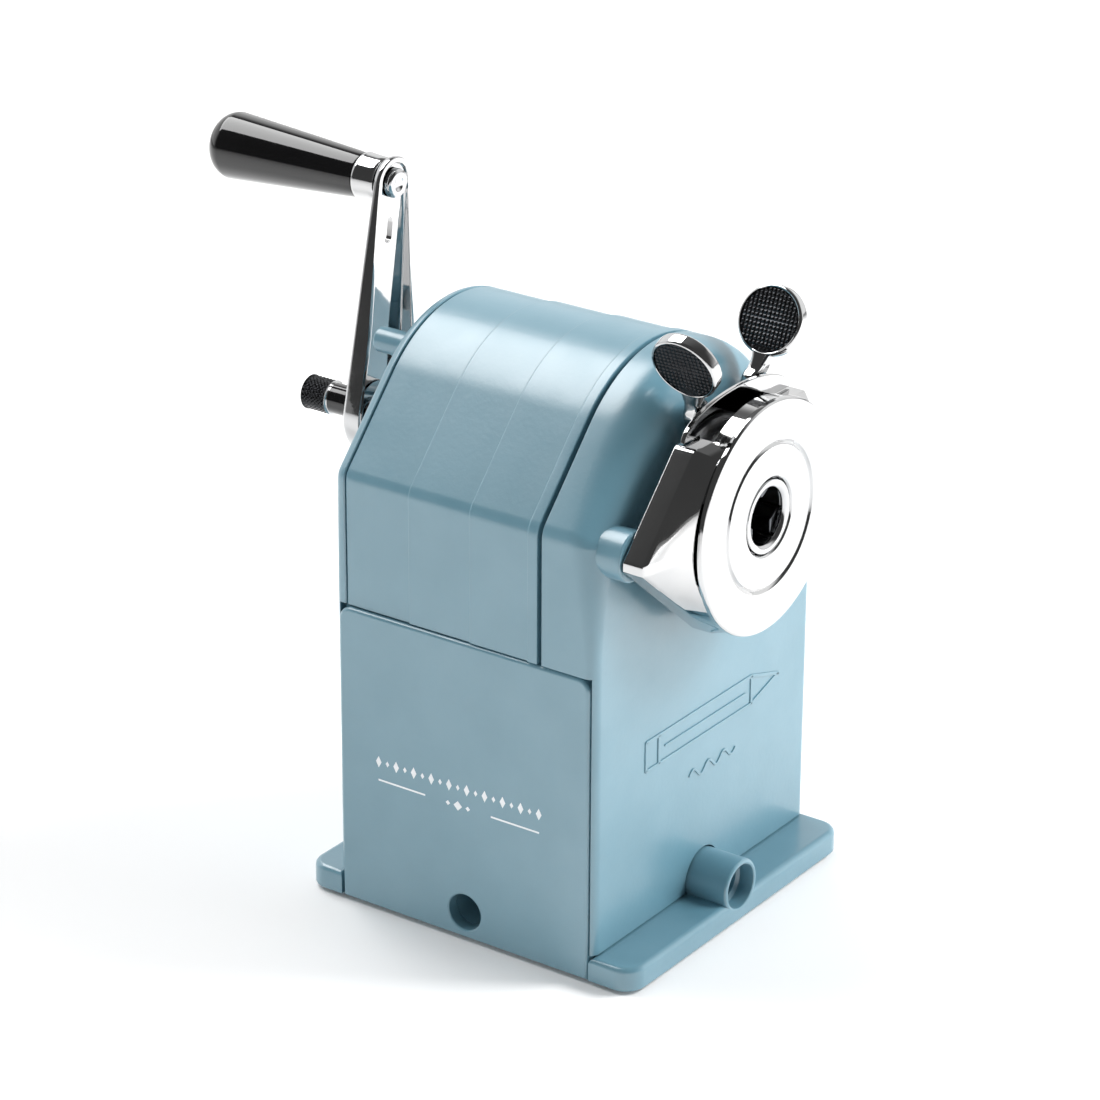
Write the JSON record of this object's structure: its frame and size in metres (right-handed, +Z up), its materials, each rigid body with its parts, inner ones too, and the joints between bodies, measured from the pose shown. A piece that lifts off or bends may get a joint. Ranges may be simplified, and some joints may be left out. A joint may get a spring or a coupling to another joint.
{
  "type": "crank pencil sharpener",
  "caption": "Desk pencil sharpener with a hand crank, planetary helical cutter, spring-fed chuck with squeeze levers, point adjuster and side-pull shavings drawer.",
  "frame": {"origin": "underside of the base plate, midway between the two cast walls' reference planes and on the pencil axis in plan", "axes": "+Y along the pencil's way from the chuck to the crank, +X to the right of a user who faces the chuck from the front looking along +Y, +Z up; the drawer pulls out along -X"},
  "size_m": [0.07, 0.1277, 0.1295],
  "materials": {
    "paint": "smooth semi-gloss grey-blue enamel on die castings",
    "chrome": "bright chrome plate",
    "steel": "plain turned and stamped steel",
    "hard_steel": "hardened, ground cutting and gear steel",
    "bronze": "sintered bronze bearing",
    "black_grip": "polished black handgrip",
    "rubber": "matt rubber pads"
  },
  "bodies": {
    "housing": {"base_casting": "paint", "foot_left_front": "rubber", "foot_left_rear": "rubber", "foot_right_front": "rubber", "foot_right_rear": "rubber", "base_screw_left_front": "steel", "base_screw_left_rear": "steel", "base_screw_right_front": "steel", "base_screw_right_rear": "steel", "front_casting": "paint", "rear_casting": "paint", "top_cover": "paint", "cover_screw_1": "steel", "cover_screw_2": "steel", "side_panel": "paint", "front_bush": "bronze", "rear_bush": "bronze", "ring_gear": "hard_steel", "feed_spring_left": "steel", "feed_spring_right": "steel"},
    "drawer": {"drawer_front": "paint", "drawer_tray": "steel", "drawer_rivet_1": "steel", "drawer_rivet_2": "steel", "drawer_rivet_3": "steel", "drawer_rivet_4": "steel"},
    "carriage": {"chuck_cover": "chrome", "chuck_back_plate": "chrome", "face_disc": "chrome", "bore_eyelet": "chrome", "jaw_guide": "steel", "chuck_sleeve": "steel", "guide_rod_left": "steel", "guide_rod_right": "steel", "rod_nut_left": "steel", "rod_nut_right": "steel", "rod_collar_left": "steel", "rod_collar_right": "steel", "lever_spring": "steel"},
    "lever_left": {"lever_left": "chrome"},
    "lever_right": {"lever_right": "chrome"},
    "jaw_1": {"chuck_jaw_1": "hard_steel"},
    "jaw_2": {"chuck_jaw_2": "hard_steel"},
    "jaw_3": {"chuck_jaw_3": "hard_steel"},
    "crank": {"crank_shaft": "steel", "crank_hub": "chrome", "crank_arm": "chrome", "grip_axle": "steel", "cutter_carrier": "steel"},
    "cutter": {"helical_cutter": "hard_steel", "cutter_shaft": "steel", "drive_pinion": "hard_steel"},
    "grip": {"grip": "black_grip", "grip_ferrule": "chrome"},
    "adjuster": {"adjuster_knob": "chrome"},
    "stop": {"stop_rod": "steel"}
  },
  "joints": [
    {"name": "drawer_slide", "type": "slide", "parent": "housing", "child": "drawer", "axis": [-1, 0, 0], "range_m": [0, 0.05]},
    {"name": "carriage_slide", "type": "slide", "parent": "housing", "child": "carriage", "axis": [0, -1, 0], "range_m": [0, 0.026], "stiffness_N_per_m": 150, "springref_m": -0.02, "deforming": ["feed_spring_left", "feed_spring_right"]},
    {"name": "lever_left_swing", "type": "hinge", "parent": "carriage", "child": "lever_left", "pos_m": [0, -0.0306, 0.0805], "axis": [0, 1, 0], "range_deg": [0, 12], "stiffness_Nm_per_rad": 0.05, "springref_deg": -17.19, "deforming": ["lever_spring"]},
    {"name": "lever_right_swing", "type": "hinge", "parent": "carriage", "child": "lever_right", "pos_m": [0, -0.0306, 0.0805], "axis": [0, -1, 0], "range_deg": [0, 12.5]},
    {"name": "jaw_1_slide", "type": "slide", "parent": "carriage", "child": "jaw_1", "axis": [0, 0, 1], "range_m": [0, 0.0034]},
    {"name": "jaw_2_slide", "type": "slide", "parent": "carriage", "child": "jaw_2", "axis": [0.866, 0, -0.5], "range_m": [0, 0.0035]},
    {"name": "jaw_3_slide", "type": "slide", "parent": "carriage", "child": "jaw_3", "axis": [-0.866, 0, -0.5], "range_m": [0, 0.0035]},
    {"name": "crank_spin", "type": "hinge", "parent": "housing", "child": "crank", "pos_m": [0, 0, 0.0805], "axis": [0, 1, 0], "continuous": true},
    {"name": "cutter_spin", "type": "hinge", "parent": "crank", "child": "cutter", "pos_m": [0, 0.0414, 0.0805], "axis": [0, 0.9799, -0.1994], "continuous": true},
    {"name": "grip_spin", "type": "hinge", "parent": "crank", "child": "grip", "pos_m": [0.0065, 0.07, 0.1226], "axis": [0, 1, 0], "continuous": true},
    {"name": "adjuster_turn", "type": "hinge", "parent": "crank", "child": "adjuster", "pos_m": [0, 0.055, 0.0805], "axis": [0, 1, 0], "range_deg": [-360, 360]},
    {"name": "stop_advance", "type": "slide", "parent": "crank", "child": "stop", "axis": [0, -1, 0], "range_m": [-0.001, 0.001]}
  ],
  "couplings": [
    {"joint": "lever_left_swing", "follows": "jaw_1_slide", "rad_per_m": 61.599},
    {"joint": "lever_right_swing", "follows": "jaw_1_slide", "rad_per_m": 61.599},
    {"joint": "jaw_2_slide", "follows": "jaw_1_slide", "ratio": 1},
    {"joint": "jaw_3_slide", "follows": "jaw_1_slide", "ratio": 1},
    {"joint": "cutter_spin", "follows": "crank_spin", "ratio": -3.2727},
    {"joint": "adjuster_turn", "follows": "stop_advance", "rad_per_m": 6283}
  ]
}
